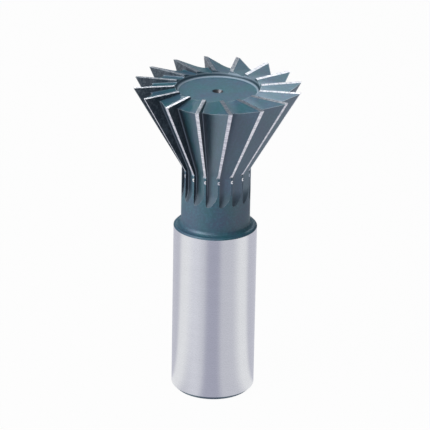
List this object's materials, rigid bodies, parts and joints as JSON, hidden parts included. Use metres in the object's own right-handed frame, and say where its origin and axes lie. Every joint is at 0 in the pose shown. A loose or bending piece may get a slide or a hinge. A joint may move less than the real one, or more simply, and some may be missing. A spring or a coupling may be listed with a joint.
{
  "type": "dovetail cutter",
  "caption": "Straight-toothed dovetail cutter: plain round shank, narrower neck and a tapered toothed head that widens to its flat end face.",
  "frame": {"origin": "centre of the shank's end face", "axes": "+Z along the cutter's axis, from the shank towards the cutting end; a tooth's cutting edge lies 1.3 mm ahead of +X, the other teeth follow every 22.5 degrees"},
  "size_m": [0.05, 0.05, 0.097],
  "materials": {
    "tool_steel": "satin blue-grey oxide on neck and head, ground bright on shank and lands"
  },
  "bodies": {
    "root": {"dovetail_cutter": "tool_steel"}
  },
  "joints": []
}
